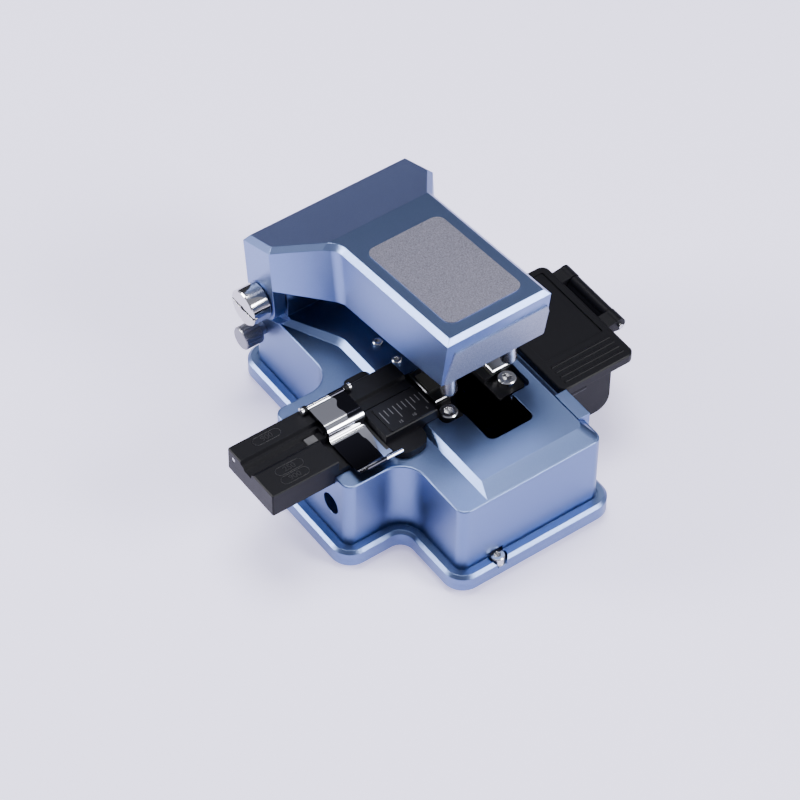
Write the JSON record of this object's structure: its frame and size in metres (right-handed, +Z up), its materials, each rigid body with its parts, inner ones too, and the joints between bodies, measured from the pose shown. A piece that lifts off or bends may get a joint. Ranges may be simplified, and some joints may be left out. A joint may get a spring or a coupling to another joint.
{
  "type": "bench optical fibre cleaver",
  "caption": "Blue bench fibre cleaver: hinged arm with sprung clamps and anvil over a blade carriage, black fibre guide with mirror clip, and a lidded scrap bin.",
  "frame": {"origin": "middle of the whole tool's footprint, on the bench under its feet", "axes": "+X along the fibre from the guide to the scrap bin, +Y to the rear hinge, +Z up"},
  "size_m": [0.1264, 0.111, 0.0735],
  "materials": {
    "blue_body": "bead-blasted, blue anodised",
    "blue_arm": "bead-blasted, blue anodised",
    "label_metal": "fine-grained satin",
    "black_plastic": "matt moulded",
    "black_metal": "satin black",
    "scale_metal": "satin black with fine white marks",
    "steel": "fine turned",
    "dark_steel": "blackened",
    "chrome_pin": "polished",
    "clip_mirror": "mirror polished",
    "knob_grey": "knurled satin",
    "silver_block": "milled",
    "blade_edge": "ground carbide",
    "bronze": "plain bearing bronze",
    "rubber_black": "matt",
    "rubber_grey": "matt"
  },
  "bodies": {
    "base": {"base_body": "blue_body", "bottom_plate": "blue_body", "ledge_cap_screws": "steel", "rubber_feet": "rubber_black", "slide_rail": "steel", "rail_screws": "dark_steel", "fibre_guide": "black_plastic", "guide_end_screw": "steel", "jacket_insert": "rubber_grey", "scale_plate": "scale_metal", "clip_pin": "steel", "clamp_base_left": "black_metal", "clamp_base_right": "black_metal", "lower_clamp_left": "dark_steel", "lower_clamp_right": "silver_block", "lower_pads": "rubber_black", "clamp_cap_screws": "steel", "deck_screws": "steel", "hinge_pin": "chrome_pin", "pin_ring": "dark_steel", "arm_spring": "steel", "bin_bracket": "blue_body", "bin_screws": "steel", "bin_body": "black_plastic", "bin_hinge_pin": "steel"},
    "arm": {"arm_cover": "blue_arm", "label_plate": "label_metal", "front_plate": "label_metal", "clamp_frame": "black_metal", "frame_screws": "steel", "stop_posts": "steel", "hinge_bushes": "bronze", "frame_springs": "steel"},
    "clamp_left": {"upper_clamp_left": "dark_steel", "upper_pad_left": "rubber_black"},
    "clamp_right": {"upper_clamp_right": "silver_block", "upper_pad_right": "rubber_black"},
    "anvil_unit": {"anvil": "steel"},
    "carriage": {"blade_carriage": "silver_block", "blade_bracket": "steel"},
    "height_adjuster": {"height_screw": "steel"},
    "wheel": {"blade_wheel": "blade_edge", "blade_hub": "dark_steel", "hub_screw": "steel"},
    "clip": {"clip_plate": "clip_mirror", "clip_pad": "rubber_black"},
    "thumb": {"thumb_screw": "knob_grey"},
    "lid": {"bin_lid": "black_plastic"}
  },
  "joints": [
    {"name": "arm_hinge", "type": "hinge", "parent": "base", "child": "arm", "pos_m": [0, 0.0442, 0.0394], "axis": [1, 0, 0], "range_deg": [0, 6.4], "stiffness_Nm_per_rad": 0.12, "springref_deg": -45.84},
    {"name": "clamp_left_slide", "type": "slide", "parent": "arm", "child": "clamp_left", "axis": [0, 0.1122, 0.9937], "range_m": [0, 0.0012], "stiffness_N_per_m": 400, "springref_m": -0.002},
    {"name": "clamp_right_slide", "type": "slide", "parent": "arm", "child": "clamp_right", "axis": [0, 0.1122, 0.9937], "range_m": [0, 0.0012], "stiffness_N_per_m": 400, "springref_m": -0.002},
    {"name": "anvil_slide", "type": "slide", "parent": "arm", "child": "anvil_unit", "axis": [0, 0.1122, 0.9937], "range_m": [0, 0.0012], "stiffness_N_per_m": 400, "springref_m": -0.002},
    {"name": "blade_slide", "type": "slide", "parent": "base", "child": "carriage", "axis": [0, -1, 0], "range_m": [0, 0.025]},
    {"name": "wheel_turn", "type": "hinge", "parent": "carriage", "child": "wheel", "pos_m": [0.009, 0.012, 0.028], "axis": [1, 0, 0], "continuous": true},
    {"name": "height_turn", "type": "hinge", "parent": "carriage", "child": "height_adjuster", "pos_m": [0.0138, 0.012, 0.012], "axis": [0, 0, 1], "continuous": true},
    {"name": "clip_hinge", "type": "hinge", "parent": "base", "child": "clip", "pos_m": [-0.03085, 0.0014, 0.03885], "axis": [-1, 0, 0], "range_deg": [0, 105]},
    {"name": "thumb_turn", "type": "hinge", "parent": "base", "child": "thumb", "pos_m": [-0.024, 0.047, 0.0234], "axis": [1, 0, 0], "continuous": true},
    {"name": "lid_hinge", "type": "hinge", "parent": "base", "child": "lid", "pos_m": [0.061, -0.005, 0.0309], "axis": [0, 1, 0], "range_deg": [0, 100]}
  ],
  "couplings": [
    {"joint": "blade_slide", "follows": "arm_hinge", "m_per_rad": 0.2235}
  ]
}
